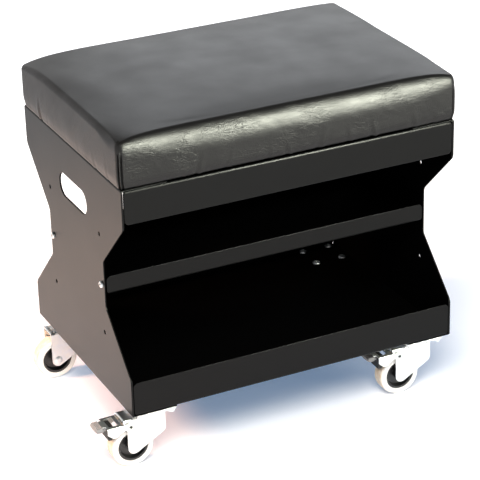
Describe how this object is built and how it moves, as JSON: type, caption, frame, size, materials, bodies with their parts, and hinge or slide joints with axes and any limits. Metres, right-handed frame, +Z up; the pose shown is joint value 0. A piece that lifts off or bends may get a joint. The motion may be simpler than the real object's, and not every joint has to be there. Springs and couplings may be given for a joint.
{
  "type": "creeper seat",
  "caption": "Rolling mechanic's seat: padded rectangular cushion on an hourglass black steel body with a middle shelf, a bottom tray, side handle slots and swivel casters, front ones braked.",
  "frame": {"origin": "on the floor, under the middle of the body", "axes": "+X to the sitter's right along the long side, +Y to the back, +Z up"},
  "size_m": [0.4395, 0.28, 0.3983],
  "materials": {
    "powder_coat": "satin black powder coat",
    "zinc": "bright zinc plating",
    "faux_leather": "black synthetic leather, low sheen",
    "foam": "open-cell foam",
    "plywood": "plain plywood",
    "tyre_rubber": "off-white soft rubber",
    "hub_plastic": "black moulded plastic",
    "tip_plastic": "grey ribbed plastic",
    "shoe_rubber": "black rubber"
  },
  "bodies": {
    "body": {"left_side_panel": "powder_coat", "right_side_panel": "powder_coat", "top_plate": "powder_coat", "middle_shelf": "powder_coat", "bottom_tray": "powder_coat", "seat_board": "plywood", "seat_foam": "foam", "seat_cover": "faux_leather", "seat_screws": "zinc", "shelf_screws": "zinc", "shelf_nuts": "zinc", "caster_bolts": "zinc", "caster_nuts": "zinc", "swivel_balls": "zinc", "front_left_caster_plate": "zinc", "front_right_caster_plate": "zinc", "rear_left_caster_plate": "zinc", "rear_right_caster_plate": "zinc", "front_left_kingpin": "zinc", "front_right_kingpin": "zinc", "rear_left_kingpin": "zinc", "rear_right_kingpin": "zinc"},
    "front_left_swivel": {"front_left_fork": "zinc", "front_left_wheel_bushing": "zinc", "front_left_axle": "zinc", "front_left_pedal_pin": "zinc"},
    "front_left_wheel": {"front_left_wheel_hub": "hub_plastic", "front_left_tyre": "tyre_rubber"},
    "front_left_pedal": {"front_left_brake_pedal": "zinc", "front_left_brake_shoe": "shoe_rubber", "front_left_pedal_tip": "tip_plastic"},
    "front_right_swivel": {"front_right_fork": "zinc", "front_right_wheel_bushing": "zinc", "front_right_axle": "zinc", "front_right_pedal_pin": "zinc"},
    "front_right_wheel": {"front_right_wheel_hub": "hub_plastic", "front_right_tyre": "tyre_rubber"},
    "front_right_pedal": {"front_right_brake_pedal": "zinc", "front_right_brake_shoe": "shoe_rubber", "front_right_pedal_tip": "tip_plastic"},
    "rear_left_swivel": {"rear_left_fork": "zinc", "rear_left_wheel_bushing": "zinc", "rear_left_axle": "zinc"},
    "rear_left_wheel": {"rear_left_wheel_hub": "hub_plastic", "rear_left_tyre": "tyre_rubber"},
    "rear_right_swivel": {"rear_right_fork": "zinc", "rear_right_wheel_bushing": "zinc", "rear_right_axle": "zinc"},
    "rear_right_wheel": {"rear_right_wheel_hub": "hub_plastic", "rear_right_tyre": "tyre_rubber"}
  },
  "joints": [
    {"name": "front_left_swivel_turn", "type": "hinge", "parent": "body", "child": "front_left_swivel", "pos_m": [-0.169, -0.114, 0.0645], "axis": [0, 0, 1], "continuous": true},
    {"name": "front_left_wheel_spin", "type": "hinge", "parent": "front_left_swivel", "child": "front_left_wheel", "pos_m": [-0.194, -0.114, 0.025], "axis": [0, 1, 0], "continuous": true},
    {"name": "front_left_brake_press", "type": "hinge", "parent": "front_left_swivel", "child": "front_left_pedal", "pos_m": [-0.198, -0.114, 0.0528], "axis": [0, -1, 0], "range_deg": [0, 7]},
    {"name": "front_right_swivel_turn", "type": "hinge", "parent": "body", "child": "front_right_swivel", "pos_m": [0.169, -0.114, 0.0645], "axis": [0, 0, 1], "continuous": true},
    {"name": "front_right_wheel_spin", "type": "hinge", "parent": "front_right_swivel", "child": "front_right_wheel", "pos_m": [0.144, -0.114, 0.025], "axis": [0, 1, 0], "continuous": true},
    {"name": "front_right_brake_press", "type": "hinge", "parent": "front_right_swivel", "child": "front_right_pedal", "pos_m": [0.14, -0.114, 0.0528], "axis": [0, -1, 0], "range_deg": [0, 7]},
    {"name": "rear_left_swivel_turn", "type": "hinge", "parent": "body", "child": "rear_left_swivel", "pos_m": [-0.169, 0.114, 0.0645], "axis": [0, 0, 1], "continuous": true},
    {"name": "rear_left_wheel_spin", "type": "hinge", "parent": "rear_left_swivel", "child": "rear_left_wheel", "pos_m": [-0.194, 0.114, 0.025], "axis": [0, 1, 0], "continuous": true},
    {"name": "rear_right_swivel_turn", "type": "hinge", "parent": "body", "child": "rear_right_swivel", "pos_m": [0.169, 0.114, 0.0645], "axis": [0, 0, 1], "continuous": true},
    {"name": "rear_right_wheel_spin", "type": "hinge", "parent": "rear_right_swivel", "child": "rear_right_wheel", "pos_m": [0.144, 0.114, 0.025], "axis": [0, 1, 0], "continuous": true}
  ]
}
